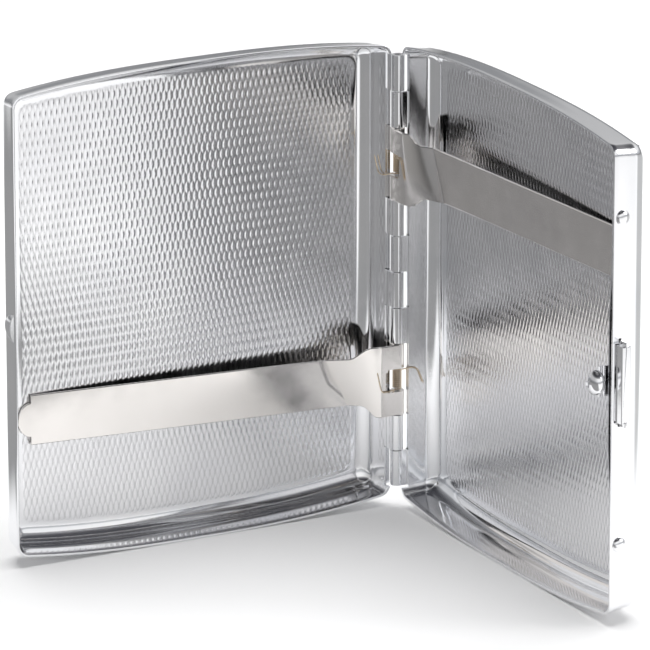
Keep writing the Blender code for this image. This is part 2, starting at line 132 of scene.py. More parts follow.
# The stamped barleycorn pattern
CELL_WIDE = 1.15 * MM
CELL_TALL = 3.7 * MM
CELL_STEPS = 8
RELIEF = 0.062 * MM
GROOVE = 0.42
PATTERN_INSET = 4.7 * MM
PATTERN_FADE = 0.35 * MM
PATTERN_CORNER = 1.6 * MM

# The pin's middle in the frame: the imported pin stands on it
low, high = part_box("hinge_pin")
AXIS = (Vector(low) + Vector(high)) / 2
TURN = Matrix(((0, 1, 0, 0), (1, 0, 0, 0), (0, 0, -1, 0), (0, 0, 0, 1)))


# ---------------------------------------------------------------- placing

def place(mesh, right=False, shift=0.0):
    """Move a mesh from the left tray's frame to its place on the case."""
    turn = TURN if right else Matrix.Identity(4)
    mesh.transform(Matrix.Translation(AXIS) @ turn @ Matrix.Translation((0, 0, shift)))


def piece(name, mesh, body, material, node=None, right=False, shift=0.0):
    place(mesh, right, shift)
    thing = bpy.data.objects.new(name, mesh)
    bpy.context.scene.collection.objects.link(thing)
    mesh.materials.clear()
    mesh.materials.append(material)
    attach(thing, body)
    if node:
        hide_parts(node)
    return thing


def finish_mesh(bm, name, angle=32):
    bmesh.ops.recalc_face_normals(bm, faces=bm.faces)
    if bm.calc_volume(signed=True) < 0:
        bmesh.ops.reverse_faces(bm, faces=bm.faces)
    mesh = bpy.data.meshes.new(name)
    bm.to_mesh(mesh)
    bm.free()
    mesh.shade_smooth()
    mesh.set_sharp_from_angle(angle=math.radians(angle))
    return mesh


def combine(mesh, steps, angle=32):
    """Apply booleans to a mesh: steps are pairs of an operation and a cutter mesh."""
    scratch = bpy.data.objects.new("scratch", mesh)
    bpy.context.scene.collection.objects.link(scratch)
    cutters = []
    for operation, cutter_mesh in steps:
        cutter = bpy.data.objects.new("cutter", cutter_mesh)
        bpy.context.scene.collection.objects.link(cutter)
        step = scratch.modifiers.new("cut", "BOOLEAN")
        step.operation = operation
        step.solver = "EXACT"
        step.object = cutter
        cutters.append(cutter)
    bpy.context.view_layer.update()
    graph = bpy.context.evaluated_depsgraph_get()
    result = bpy.data.meshes.new_from_object(scratch.evaluated_get(graph))
    for old in cutters + [scratch]:
        bpy.data.objects.remove(old)
    result.shade_smooth()
    result.set_sharp_from_angle(angle=math.radians(angle))
    return result


def block(low, high, bevel=0.0, segments=3, pick=None):
    bm = bmesh.new()
    size = Vector(high) - Vector(low)
    middle = (Vector(high) + Vector(low)) / 2
    lay = Matrix.Translation(middle) @ Matrix.Diagonal((*size, 1))
    bmesh.ops.create_cube(bm, size=1.0, matrix=lay)
    if bevel:
        edges = [e for e in bm.edges if pick is None or pick(e)]
        bmesh.ops.bevel(bm, geom=edges, offset=bevel, segments=segments, affect="EDGES")
    return bm


def runs_along(axis):
    """Picks the edges that run along one axis."""
    def pick(edge):
        run = edge.verts[0].co - edge.verts[1].co
        return abs(run[axis]) > 0.9 * run.length
    return pick


def turned(profile, segments=48):
    """Solid turned about Z from a closed profile of radius and height."""
    bm = bmesh.new()
    rings = []
    for step in range(segments):
        angle = 2 * math.pi * step / segments
        across = (math.cos(angle), math.sin(angle))
        rings.append([bm.verts.new((r * across[0], r * across[1], z)) for r, z in profile])
    count = len(profile)
    for step in range(segments):
        first, second = rings[step], rings[(step + 1) % segments]
        for index in range(count):
            after = (index + 1) % count
            bm.faces.new((first[index], second[index], second[after], first[after]))
    bmesh.ops.remove_doubles(bm, verts=bm.verts, dist=0.000001)
    return bm


def loft(bm, rows):
    """Skin over closed rows of corners, with a face on each end."""
    for first, second in zip(rows, rows[1:]):
        for index in range(len(first)):
            after = (index + 1) % len(first)
            bm.faces.new((first[index], first[after], second[after], second[index]))
    bm.faces.new(rows[0])
    bm.faces.new(rows[-1])


def eased(share):
    """Smooth change from 0 to 1, level at both ends."""
    return share * share * (3 - 2 * share)


def tube(radius, bore, low, high, edge=0.07 * MM):
    """Turned tube with eased ends."""
    return turned(
        [(bore, low), (radius - edge, low), (radius - edge * 0.3, low + edge * 0.3),
         (radius, low + edge), (radius, high - edge), (radius - edge * 0.3, high - edge * 0.3),
         (radius - edge, high), (bore, high)]
    )


def dome_profile(radius, height, base, steps=10):
    """Profile of a flat-bottomed dome: up the axis side, then down its curve."""
    curve = []
    for step in range(steps + 1):
        angle = math.pi / 2 * step / steps
        curve.append((max(radius * math.sin(angle), NO_BORE), base + height * math.cos(angle)))
    return [(NO_BORE, base)] + curve


def catmull(points, steps=8):
    """Smooth curve through points of any dimension."""
    points = [np.array(p, float) for p in points]
    padded = [2 * points[0] - points[1]] + points + [2 * points[-1] - points[-2]]
    curve = []
    for a, b, c, d in zip(padded, padded[1:], padded[2:], padded[3:]):
        for step in range(steps):
            t = step / steps
            curve.append(0.5 * (2 * b + (c - a) * t + (2 * a - 5 * b + 4 * c - d) * t * t
                                + (3 * b - a - 3 * c + d) * t ** 3))
    return curve + [points[-1]]


# ---------------------------------------------------------------- materials

def noise(tree, coordinate, scale, detail, stretch=(1, 1, 1)):
    mapping = tree.nodes.new("ShaderNodeMapping")
    mapping.inputs["Scale"].default_value = stretch
    texture = tree.nodes.new("ShaderNodeTexNoise")
    texture.inputs["Scale"].default_value = scale
    texture.inputs["Detail"].default_value = detail
    tree.links.new(coordinate.outputs["Object"], mapping.inputs["Vector"])
    tree.links.new(mapping.outputs["Vector"], texture.inputs["Vector"])
    return texture


def spread(tree, source, low, high, from_low=0.35, from_high=0.65):
    span = tree.nodes.new("ShaderNodeMapRange")
    span.inputs["From Min"].default_value = from_low
    span.inputs["From Max"].default_value = from_high
    span.inputs["To Min"].default_value = low
    span.inputs["To Max"].default_value = high
    tree.links.new(source, span.inputs["Value"])
    return span.outputs["Result"]


CLOUD_SCALE, MARK_SCALE, HAIR_SCALE = 60.0, 240.0, 900.0
# Painted shade for the grooves of the stamping
GROOVE_SHADE_TONE = (0.66, 0.66, 0.67)


def metal(name, light, dark, smooth, rough, scratch, stretch=(1, 1, 14)):
    """Plated metal: cloudy tone, handling marks in the gloss and hairline scratches."""
    material = bpy.data.materials.new(name)
    material.use_nodes = True
    tree = material.node_tree
    shader = tree.nodes["Principled BSDF"]
    shader.inputs["Metallic"].default_value = 1.0
    coordinate = tree.nodes.new("ShaderNodeTexCoord")
    cloud = noise(tree, coordinate, CLOUD_SCALE, 4.0)
    marks = noise(tree, coordinate, MARK_SCALE, 6.0)
    hairs = noise(tree, coordinate, HAIR_SCALE, 3.0, stretch)
    mix = tree.nodes.new("ShaderNodeMix")
    mix.data_type = "RGBA"
    mix.inputs["A"].default_value = (*dark, 1)
    mix.inputs["B"].default_value = (*light, 1)
    tree.links.new(spread(tree, cloud.outputs["Fac"], 0.0, 1.0), mix.inputs["Factor"])
    tree.links.new(mix.outputs["Result"], shader.inputs["Base Color"])
    gloss = spread(tree, marks.outputs["Fac"], smooth, rough)
    tree.links.new(gloss, shader.inputs["Roughness"])
    bump = tree.nodes.new("ShaderNodeBump")
    bump.inputs["Strength"].default_value = scratch
    bump.inputs["Distance"].default_value = 0.02 * MM
    tree.links.new(hairs.outputs["Fac"], bump.inputs["Height"])
    tree.links.new(bump.outputs["Normal"], shader.inputs["Normal"])
    return material


def shade_grooves(material):
    """Grey the grooves of the stamping: painted shade in the hollows between the cells."""
    tree = material.node_tree
    shader = tree.nodes["Principled BSDF"]
    plated = shader.inputs["Base Color"].links[0].from_socket
    stamp = tree.nodes.new("ShaderNodeAttribute")
    stamp.attribute_name = "stamp"
    mix = tree.nodes.new("ShaderNodeMix")
    mix.data_type = "RGBA"
    mix.inputs["A"].default_value = (*GROOVE_SHADE_TONE, 1)
    tree.links.new(stamp.outputs["Fac"], mix.inputs["Factor"])
    tree.links.new(plated, mix.inputs["B"])
    tree.links.new(mix.outputs["Result"], shader.inputs["Base Color"])


CHROME = metal("chrome_plate", (0.93, 0.93, 0.94), (0.86, 0.87, 0.89), 0.05, 0.11, 0.10)
PANEL = metal("stamped_chrome", (0.93, 0.93, 0.94), (0.85, 0.85, 0.87), 0.12, 0.20, 0.06)
shade_grooves(PANEL)
NICKEL = metal("nickel_plate", (0.90, 0.87, 0.84), (0.83, 0.80, 0.77), 0.07, 0.14, 0.10,
               (14, 14, 1))
BRASS = metal("brass_wire", (0.80, 0.68, 0.52), (0.62, 0.49, 0.35), 0.16, 0.28, 0.20)
STEEL = metal("spring_steel", (0.62, 0.62, 0.64), (0.50, 0.50, 0.52), 0.22, 0.36, 0.30)


# ---------------------------------------------------------------- trays

def arch(x, inset):
    across = np.abs(2 * (-x - PIN_OFFSET) / WIDTH - 1)
    return HEIGHT / 2 - ARCH_DROP * across ** ARCH_POWER - inset


def outline(inset, radius=CORNER, arch_steps=60, corner_steps=9):
    """Tray outline in X and Z with arched top and bottom and rounded corners."""
    slope = math.atan(2 * ARCH_DROP * ARCH_POWER / WIDTH)
    left = -REACH + inset
    right = -PIN_OFFSET - inset
    end = left + radius * (1 - math.sin(slope))
    centre = arch(end, inset) - radius * math.cos(slope)
    corner = []
    for step in range(corner_steps + 1):
        angle = step / corner_steps * (math.pi / 2 - slope)
        corner.append((left + radius * (1 - math.cos(angle)), centre + radius * math.sin(angle)))
    mirrored = [(left + right - x, z) for x, z in reversed(corner)]
    middle = []
    for step in range(1, arch_steps):
        x = end + (left + right - 2 * end) * step / arch_steps
        middle.append((x, arch(x, inset)))
    top = corner + middle + mirrored
    return top + [(x, -z) for x, z in reversed(top)]


def skin_rings(thickness, steps=14):
    """Inset and depth from near the rim to the flat of the panel, one skin of the tray."""
    slant = math.tan(DRAFT)
    extra = thickness / math.cos(DRAFT)
    wall_end = DEPTH - BACK_RADIUS
    rings = [(d * slant + extra, d) for d in (RIM_GAP + 0.12 * MM, 1.2 * MM, 2.6 * MM, wall_end)]
    radius = BACK_RADIUS - thickness
    centre = wall_end * slant + BACK_RADIUS
    start = math.asin((centre - wall_end * slant - extra) / radius) if thickness else math.pi / 2
    start = min(start, math.pi / 2)
    for step in range(1, steps + 1):
        angle = step / steps * math.pi / 2
        rings.append((centre - radius * math.cos(angle), wall_end + radius * math.sin(angle)))
    rings.append((centre + 0.25 * MM, DEPTH - thickness))
    return rings


def tray_shell(name):
    """Closed shell: outer skin, rolled rim edge and inner skin."""
    outer = skin_rings(0.0)
    inner = skin_rings(SHEET)
    rim_inset = RIM_GAP * math.tan(DRAFT)
    rim = [(rim_inset + share * SHEET, RIM_GAP + drop * MM)
           for share, drop in ((0.94, 0.05), (0.8, 0.01), (0.5, 0.0), (0.2, 0.01), (0.06, 0.05))]
    rings = list(reversed(inner)) + rim + outer
    bm = bmesh.new()
    rows = [[bm.verts.new((x, depth, z)) for x, z in outline(inset)] for inset, depth in rings]
    loft(bm, rows)
    return finish_mesh(bm, name)


def notch():
    half = UNITS * UNIT / 2 + 0.25 * MM
    bm = block((-PIN_OFFSET - 1.5 * MM, -1 * MM, -half), (MM, NOTCH_DEPTH, half))
    return finish_mesh(bm, "notch")


def trim(bm, point, outward):
    geometry = bm.verts[:] + bm.edges[:] + bm.faces[:]
    cut = bmesh.ops.bisect_plane(
        bm, geom=geometry, plane_co=point, plane_no=outward, clear_outer=True
    )
    rim = [item for item in cut["geom_cut"] if isinstance(item, bmesh.types.BMEdge)]
    bmesh.ops.contextual_create(bm, geom=rim)


def ellipsoid(size, across=48, along=32):
    bm = bmesh.new()
    bmesh.ops.create_uvsphere(bm, u_segments=across, v_segments=along, radius=1.0)
    bmesh.ops.transform(bm, matrix=Matrix.Diagonal((*size, 1)), verts=bm.verts)
    return bm


def pocket_shapes():
    """Half moon swelling of the strike: its outside and its hollow."""
    swell = ellipsoid(SWELL_SIZE)
    trim(swell, (0, 0, 0), (1, 0, 0))
    trim(swell, (0, 0, 0), (0, -1, 0))
    bmesh.ops.translate(swell, vec=(-REACH + SWELL_SINK, POCKET_START, 0), verts=swell.verts)
    hollow = ellipsoid(HOLLOW_SIZE)
    trim(hollow, (0, 0.5 * MM, 0), (0, -1, 0))
    bmesh.ops.translate(hollow, vec=(-REACH + HOLLOW_SINK, POCKET_START, 0), verts=hollow.verts)
    return finish_mesh(swell, "swell"), finish_mesh(hollow, "hollow")


def wall_frame(depth, height):
    """Frame on the free wall's outer face: X points out of it and Y to its rim."""
    spot = Matrix.Translation((-REACH + depth * math.tan(DRAFT), depth, height))
    return spot @ Matrix.Rotation(math.pi - DRAFT, 4, "Z")


def lay_across(frame_matrix):
    return frame_matrix @ Matrix.Rotation(math.pi / 2, 4, "Y")


def slot_shape():
    size = (2 * MM, SLOT_WIDTH / 2, SLOT_LENGTH / 2)
    bm = block([-s for s in size], size, SLOT_CORNER, 8, runs_along(0))
    bm.transform(wall_frame(SLOT_DEPTH, 0))
    return finish_mesh(bm, "slot")


def hole_shape(height, radius=0.5 * MM):
    bm = tube(radius, NO_BORE, -2 * MM, 2 * MM)
    bm.transform(lay_across(wall_frame(RIVET_DEPTH, height)))
    return finish_mesh(bm, "hole")


def pattern_plate(name, inside):
    """Stamped field of the panel: rows of flat pointed cells that fade out at its border.

    Its border is sunk in the sheet, so only the stamped field stands above the flat."""
    step_x, step_z = CELL_WIDE / CELL_STEPS, CELL_TALL / CELL_STEPS
    middle_x = -PIN_OFFSET - WIDTH / 2
    cols = int((WIDTH - 2 * PATTERN_INSET) / step_x) // 2 + 2
    rows = int((HEIGHT - 2 * PATTERN_INSET) / step_z) // 2 + 2
    x = np.arange(-cols, cols + 1) * step_x
    z = np.arange(-rows, rows + 1) * step_z
    grid_x, grid_z = np.meshgrid(x, z)
    a = grid_x / CELL_WIDE + grid_z / CELL_TALL
    b = grid_x / CELL_WIDE - grid_z / CELL_TALL
    pillow = eased(np.clip(np.abs(np.sin(np.pi * a) * np.sin(np.pi * b)) / GROOVE, 0, 1))
    side = WIDTH / 2 - PATTERN_INSET - np.abs(grid_x)
    top = arch(middle_x + grid_x, PATTERN_INSET) - np.abs(grid_z)
    short_side = np.minimum(side - PATTERN_CORNER, 0)
    short_top = np.minimum(top - PATTERN_CORNER, 0)
    rounded = PATTERN_CORNER - np.hypot(short_side, short_top)
    border = np.where((short_side < 0) & (short_top < 0), rounded, np.minimum(side, top))
    fade = eased(np.clip(border / PATTERN_FADE, 0, 1))
    lift = RELIEF * pillow * fade + 0.02 * MM * fade - 0.01 * MM
    face = DEPTH - SHEET if inside else DEPTH
    out = -1 if inside else 1
    depth = face + out * lift
    points = np.stack([middle_x + grid_x, depth, grid_z], -1).reshape(-1, 3)
    wide = 2 * cols + 1
    tall = 2 * rows + 1
    index = np.arange(wide * tall).reshape(tall, wide)
    quads = np.stack([index[:-1, :-1], index[:-1, 1:], index[1:, 1:], index[1:, :-1]], -1)
    quads = quads.reshape(-1, 4).tolist()
    loop = np.concatenate([index[0, :-1], index[:-1, -1], index[-1, :0:-1], index[:0:-1, 0]])
    sunk = points[loop].copy()
    sunk[:, 1] = face - out * 0.12 * MM
    centre = [[middle_x, face - out * 0.12 * MM, 0]]
    base = len(points)
    points = np.concatenate([points, sunk, centre])
    hub = len(points) - 1
    count = len(loop)
    for k in range(count):
        after = (k + 1) % count
        quads.append([int(loop[after]), int(loop[k]), base + k, base + after])
        quads.append([base + after, base + k, hub])
    mesh = bpy.data.meshes.new(name)
    mesh.from_pydata(points.tolist(), [], quads)
    # Painted shade: 0 in the grooves between the cells, which take the grey groove tone, 1 on the cells
    # and towards the field's border
    groove_shade = np.ones(len(points), np.float32)
    groove_shade[:pillow.size] = (1 - fade * (1 - pillow)).ravel()
    stamp = mesh.attributes.new("stamp", "FLOAT", "POINT")
    stamp.data.foreach_set("value", groove_shade)
    if inside:
        mesh.flip_normals()
    mesh.shade_smooth()
    mesh.set_sharp_from_angle(angle=math.radians(60))
    return mesh


def make_trays():
    swell, hollow = pocket_shapes()
    left = combine(tray_shell("left_shell"),
                   [("DIFFERENCE", notch()), ("UNION", swell), ("DIFFERENCE", hollow)])
    right = combine(tray_shell("right_shell"),
                    [("DIFFERENCE", notch()), ("DIFFERENCE", slot_shape()),
                     ("DIFFERENCE", hole_shape(RIVET_SPACING / 2)),
                     ("DIFFERENCE", hole_shape(-RIVET_SPACING / 2))])
    for side, mesh, turned_over in (("left", left, False), ("right", right, True)):
        body = f"{side}_half"
        piece(f"{side}_tray", mesh, body, CHROME, f"{side}_cover", turned_over)
        for tag, inside in (("inner", True), ("outer", False)):
            name = f"{side}_{tag}_stamping"
            piece(name, pattern_plate(name, inside), body, PANEL, None, turned_over)


# ---------------------------------------------------------------- hinge

def leaf_plate(low, high, start, end):
    """Stretch of the leaf's strip behind the hinge wall."""
    face = -PIN_OFFSET + LEAF_GAP
    bm = block((face, start, low), (face + LEAF_SHEET, end, high), 0.06 * MM, 2)
    for vert in bm.verts:
        vert.co.x -= vert.co.y * math.tan(DRAFT)
    return bm


def make_leaves():
    half = UNITS * UNIT / 2
    for side, turned_over in (("left", False), ("right", True)):
        mesh = finish_mesh(leaf_plate(-half, half, LEAF_START, LEAF_END), f"{side}_leaf")
        steps = []
        for index in LEFT_UNITS:
            top = (UNITS / 2 - index) * UNIT - UNIT_GAP / 2
            bottom = top - UNIT + UNIT_GAP
            tab = leaf_plate(bottom, top, TAB_START, TAB_END)
            tab.transform(Matrix.Translation((-0.002 * MM, 0, 0)))
            steps.append(("UNION", finish_mesh(tab, "tab")))
            roll = tube(KNUCKLE_RADIUS, NO_BORE, bottom, top)
            steps.append(("UNION", finish_mesh(roll, "roll")))
        bore = tube(BORE_RADIUS, NO_BORE, -half - MM, half + MM)
        steps.append(("DIFFERENCE", finish_mesh(bore, "bore")))
        piece(f"{side}_leaf_and_knuckles", combine(mesh, steps, 15), f"{side}_half", CHROME,
              f"{side}_hinge_leaf", turned_over)
    end = half - 0.05 * MM
    ease = 0.16 * MM
    profile = [(NO_BORE, -end - 0.05 * MM), (PIN_RADIUS - ease, -end), (PIN_RADIUS, -end + ease),
               (PIN_RADIUS, end - ease), (PIN_RADIUS - ease, end), (NO_BORE, end + 0.05 * MM)]
    piece("pin", finish_mesh(turned(profile), "pin"), "left_half", STEEL, "hinge_pin")


# ---------------------------------------------------------------- card arms

def arm_stations():
    """Distance from the pin, its skew towards the tray's middle, depth and half height.

    The ears are flat, then a slanting facet dips to the blade along an oblique crease."""
    front = -EAR_RADIUS + ARM_SHEET / 2
    tip_depth = DEPTH - SHEET - TIP_GAP - ARM_SHEET / 2
    path = [(reach * MM, 0.0, front, EAR_HALF) for reach in (0.0, 1.6, 3.2, 3.9)]
    path += [(4.1 * MM, 0.0, front + 0.02 * MM, EAR_HALF)]
    for step in range(1, 12):
        share = step / 12
        reach = DIP_START + share * (DIP_END - DIP_START)
        narrow = min(max((reach - NECK_START) / NECK_LENGTH, 0), 1)
        half = EAR_HALF - (EAR_HALF - ARM_HALF) * eased(narrow)
        path.append((reach, share, front + share * (DIP_DEPTH - front), half))
    path += [(DIP_END - 0.15 * MM, 0.98, DIP_DEPTH - 0.10 * MM, ARM_HALF),
             (DIP_END + 0.15 * MM, 1.0, DIP_DEPTH, ARM_HALF)]
    shoulder = ARM_REACH - LOBE_LENGTH
    slope = (tip_depth - DIP_DEPTH) / (ARM_REACH - DIP_END)
    for share in (0.04, 0.1, 0.25, 0.5, 0.75, 0.96, 1.0):
        reach = DIP_END + share * (shoulder - DIP_END)
        skew = max(1 - share * 4, 0)
        path.append((reach, skew, DIP_DEPTH + slope * (reach - DIP_END), ARM_HALF))
    for step in range(0, 13):
        angle = step / 13 * math.pi / 2
        reach = shoulder + 0.02 * MM + (LOBE_LENGTH - 0.05 * MM) * math.sin(angle)
        half = LOBE_HALF * math.cos(angle)
        path.append((reach, 0.0, DIP_DEPTH + slope * (reach - DIP_END), half))
    return path


def arm_plate(name, lift):
    """Strip with eased edges lofted through the stations; its tip stands higher by lift."""
    path = arm_stations()
    bm = bmesh.new()
    rows = []
    ease = 0.12 * MM
    for index, (reach, skew, depth, half) in enumerate(path):
        before, after = path[max(index - 1, 0)], path[min(index + 1, len(path) - 1)]
        run = Vector((after[0] - before[0], after[2] - before[2])).normalized()
        out = Vector((run.y, -run.x)) * ARM_SHEET / 2
        edge = max(half, 0.2 * MM)
        rise = lift * max(reach - DIP_END, 0) / (ARM_REACH - DIP_END)
        loop = []
        for side, z in ((1, edge - ease), (0.6, edge), (-0.6, edge), (-1, edge - ease), (-1, 0),
                        (-1, -edge + ease), (-0.6, -edge), (0.6, -edge), (1, -edge + ease), (1, 0)):
            shift = skew * CREASE_SKEW * z / ARM_HALF
            loop.append(bm.verts.new((-reach - shift - side * out.x, depth + side * out.y, z + rise)))
        rows.append(loop)
    loft(bm, rows)
    return finish_mesh(bm, name, 16)


def make_arm(name, body, node, turned_over, lift):
    gap = EAR_HALF - EAR_HEIGHT
    rolls = [finish_mesh(tube(EAR_RADIUS, NO_BORE, *sorted((s * EAR_HALF, s * gap))), "roll")
             for s in (1, -1)]
    window = block((-WINDOW_END, -3 * MM, -gap), (2 * MM, 3 * MM, gap), 0.5 * MM, 5, runs_along(1))
    bore = finish_mesh(tube(BORE_RADIUS, NO_BORE, -9 * MM, 9 * MM), "bore")
    mesh = combine(
        arm_plate(name, lift),
        [("UNION", rolls[0]), ("UNION", rolls[1]),
         ("DIFFERENCE", finish_mesh(window, "window")), ("DIFFERENCE", bore)], 16)
    piece(name, mesh, body, NICKEL, node, turned_over, -ARM_CENTRE)


# ---------------------------------------------------------------- springs

def wire(name, points, radius=WIRE, sides=12):
    """Closed round wire swept along points, with domed ends."""
    points = [Vector(p) for p in points]
    bm = bmesh.new()
    rows = []
    normal = Vector((0, 0, 1))
    count = len(points)
    for index, spot in enumerate(points):
        run = (points[min(index + 1, count - 1)] - points[max(index - 1, 0)]).normalized()
        normal = (normal - run * normal.dot(run)).normalized()
        other = run.cross(normal)
        size = radius * (0.75 if index in (0, count - 1) else 1.0)
        rows.append([
            bm.verts.new(spot + size * (math.cos(t) * normal + math.sin(t) * other))
            for t in (2 * math.pi * k / sides for k in range(sides))
        ])
    loft(bm, rows)
    return finish_mesh(bm, name, 60)


def coil(turns_from, turns_to, steps=28):
    spots = []
    for step in range(int(turns_from * steps), int(turns_to * steps) + 1):
        turn = step / steps
        angle = -math.pi / 2 + 2 * math.pi * turn
        spots.append((COIL_RADIUS * math.cos(angle), COIL_RADIUS * math.sin(angle),
                      (turn - COIL_TURNS / 2) * COIL_PITCH))
    return spots


def make_spring(name, arm_body, wall_body, node, turned_over):
    """Coil with its arm leg on the arm, and the wall leg on the other tray."""
    bottom, top = -COIL_TURNS / 2 * COIL_PITCH, COIL_TURNS / 2 * COIL_PITCH
    arm_leg = catmull([
        (-4.95 * MM, -1.27 * MM, 1.95 * MM), (-4.7 * MM, -1.4 * MM, 0.6 * MM),
        (-4.35 * MM, -1.55 * MM, -1.1 * MM), (-4.0 * MM, -1.65 * MM, bottom + 0.1 * MM),
        (-3.4 * MM, -1.7 * MM, bottom), (-2.3 * MM, -1.45 * MM, bottom),
        (-1.0 * MM, -1.0 * MM, bottom), (-0.3 * MM, -0.84 * MM, bottom)], 6)
    piece(f"{name}_coil", wire(f"{name}_coil", arm_leg[:-1] + coil(0, COIL_TURNS - 1)),
          arm_body, BRASS, node, turned_over, -ARM_CENTRE)
    inside = PIN_OFFSET + SHEET + 0.22 * MM + WIRE
    wall_leg = catmull([
        (0.25 * MM, -0.86 * MM, top), (0.8 * MM, -1.35 * MM, top + 0.2 * MM),
        (1.2 * MM, -1.85 * MM, top + 0.42 * MM), (1.75 * MM, -inside - 0.12 * MM, top + 0.55 * MM),
        (2.6 * MM, -inside - 0.4 * MM, top + 0.4 * MM), (3.3 * MM, -inside - 0.5 * MM, top - 0.2 * MM),
        (4.3 * MM, -inside - 0.62 * MM, top - 2.7 * MM)], 6)
    piece(f"{name}_wall_leg", wire(f"{name}_wall_leg", coil(COIL_TURNS - 1, COIL_TURNS)[:-1] + wall_leg),
          wall_body, BRASS, None, turned_over, -ARM_CENTRE)


# ---------------------------------------------------------------- catch

def make_button():
    """Bar in the slot, with its face rounded in small steps, and a flange behind the wall."""
    half, wide = SLOT_LENGTH / 2 - BUTTON_END_GAP, SLOT_WIDTH / 2 - BUTTON_SIDE_GAP
    inner = -SHEET - 0.5 * MM
    low, high = (inner, -wide, -half), (BUTTON_PROUD - 0.3 * MM, wide, half)
    bar = block(low, high, BUTTON_CORNER, 8, runs_along(0))
    bar.normal_update()
    face = [f for f in bar.faces if f.normal.x > 0.9]
    for lift, inward in BUTTON_STEPS:
        bmesh.ops.inset_region(bar, faces=face, thickness=inward, depth=lift)
    flange = block((inner - 0.2 * MM, -wide - 0.6 * MM, -half - MM),
                   (inner + 0.2 * MM, wide + 0.1 * MM, half + MM), 0.08 * MM, 2)
    mesh = combine(finish_mesh(bar, "bar"), [("UNION", finish_mesh(flange, "flange"))], 25)
    mesh.transform(wall_frame(SLOT_DEPTH, 0))
    piece("button", mesh, "catch", CHROME, "push_button", True)


def make_leaf_spring():
    """Sprung strip behind the free wall, bowed inwards at its middle."""
    near, far = -SHEET - NEAR_GAP, -SHEET - FAR_GAP
    end = RIVET_SPACING / 2 + 2.2 * MM
    bm = bmesh.new()
    rows = []
    for step in range(61):
        z = -end + 2 * end * step / 60
        bow = min(max((abs(z) - BOW_START) / BOW_LENGTH, 0), 1)
        x = far + (near - far) * eased(bow)
        half = SPRING_HALF
        slim = abs(z) - (end - half)
        if slim > 0:
            half = math.sqrt(max(half * half - slim * slim, 0.0004 * MM * MM + (0.3 * MM) ** 2))
        rows.append([bm.verts.new(v) for v in (
            (x, -half, z), (x + SPRING_SHEET, -half, z), (x + SPRING_SHEET, half, z), (x, half, z))])
    loft(bm, rows)
    bm.transform(wall_frame(RIVET_DEPTH, 0))
    piece("leaf_spring", finish_mesh(bm, "leaf_spring"), "right_half", STEEL,
          "catch_spring", True)


def make_tongue():
    """Tab behind the leaf spring with a stub to the button and a dome near its end."""
    back = -SHEET - 1.6 * MM
    tip = SLOT_DEPTH + TONGUE_REACH
    plate = block((back - TONGUE_SHEET, -1.6 * MM, -TONGUE_HALF), (back, tip, TONGUE_HALF))
    ends = [e for e in plate.edges if runs_along(0)(e) and e.verts[0].co.y > 0]
    bmesh.ops.bevel(plate, geom=ends, offset=2.6 * MM, segments=14, affect="EDGES")
    dome = ellipsoid(DOME_SIZE)
    trim(dome, (-0.2 * MM, 0, 0), (-1, 0, 0))
    bmesh.ops.translate(dome, vec=(back, tip - TONGUE_REACH / 2, 0), verts=dome.verts)
    stub = tube(0.6 * MM, NO_BORE, back - 0.2 * MM, back + 0.75 * MM)
    stub.transform(Matrix.Rotation(math.pi / 2, 4, "Y"))
    mesh = combine(
        finish_mesh(plate, "plate"),
        [("UNION", finish_mesh(dome, "dome")), ("UNION", finish_mesh(stub, "stub"))], 25)
    spot = Matrix.Translation((-REACH + SLOT_DEPTH * math.tan(DRAFT), SLOT_DEPTH, 0))
    mesh.transform(spot @ Matrix.Rotation(math.pi, 4, "Z"))
    piece("tongue", mesh, "catch", CHROME, "catch_tongue", True)


def make_rivet(name, sign):
    head = turned(dome_profile(RIVET_RADIUS, RIVET_HEIGHT, 0.02 * MM, 14))
    shank = finish_mesh(tube(SHANK_RADIUS, NO_BORE, -1.6 * MM, 0.3 * MM), "shank")
    peen = finish_mesh(tube(2 * SHANK_RADIUS, NO_BORE, -1.75 * MM, -1.4 * MM, 0.12 * MM), "peen")
    mesh = combine(finish_mesh(head, name), [("UNION", shank), ("UNION", peen)])
    mesh.transform(lay_across(wall_frame(RIVET_DEPTH, -sign * RIVET_SPACING / 2)))
    piece(f"{name}_head", mesh, "right_half", CHROME, name, True)


# ---------------------------------------------------------------- stage

# Tones of the floor, light and shade painted into its colour: white round the case, painted shade
# towards the camera and at both sides; and, by the sine of the height above the horizon, tones of the
# surround
FLOOR_WHITE, FLOOR_FRONT, FLOOR_FRONT_LEFT_SHADE = 0.93, 0.87, 0.25
FLOOR_LEFT_SHADE, FLOOR_RIGHT_SHADE = 0.26, 0.45
SKY = ((0.0, (0.50, 0.51, 0.53)), (0.12, (0.55, 0.56, 0.58)), (0.22, (0.95, 0.95, 0.96)),
       (0.52, (1.0, 1.0, 1.0)), (0.62, (0.40, 0.40, 0.41)), (0.76, (0.10, 0.10, 0.11)),
       (0.90, (0.07, 0.07, 0.08)), (1.0, (0.30, 0.30, 0.30)))
SKY_BACK, SKY_FRONT = 0.52, 1.0

# Directions on the floor: to the camera's right, and towards the camera
ACROSS = (0.882, -0.472)
AHEAD = (-0.472, -0.882)

# Where each change of the floor's painted shade starts and ends, in metres along those directions
FRONT_AHEAD, FRONT_ACROSS = (0.038, 0.050), (0.050, 0.085)
LEFT_ACROSS, LEFT_AHEAD = (-0.072, -0.095), (-0.35, -0.25)
RIGHT_ACROSS, RIGHT_AHEAD = (0.11, 0.16), (0.03, -0.02)

# Direction in which the surround gets brighter, and the stretch over which it does
SKY_WAY, SKY_CHANGE = (0.6, -0.8), (-0.5, 0.7)


def math_node(tree, operation, first, second):
    """Arithmetic on two values, each a socket or a number."""
    node = tree.nodes.new("ShaderNodeMath")
    node.operation = operation
    for socket, value in zip(node.inputs, (first, second)):
        if isinstance(value, (int, float)):
            socket.default_value = value
        else:
            tree.links.new(value, socket)
    return node.outputs[0]


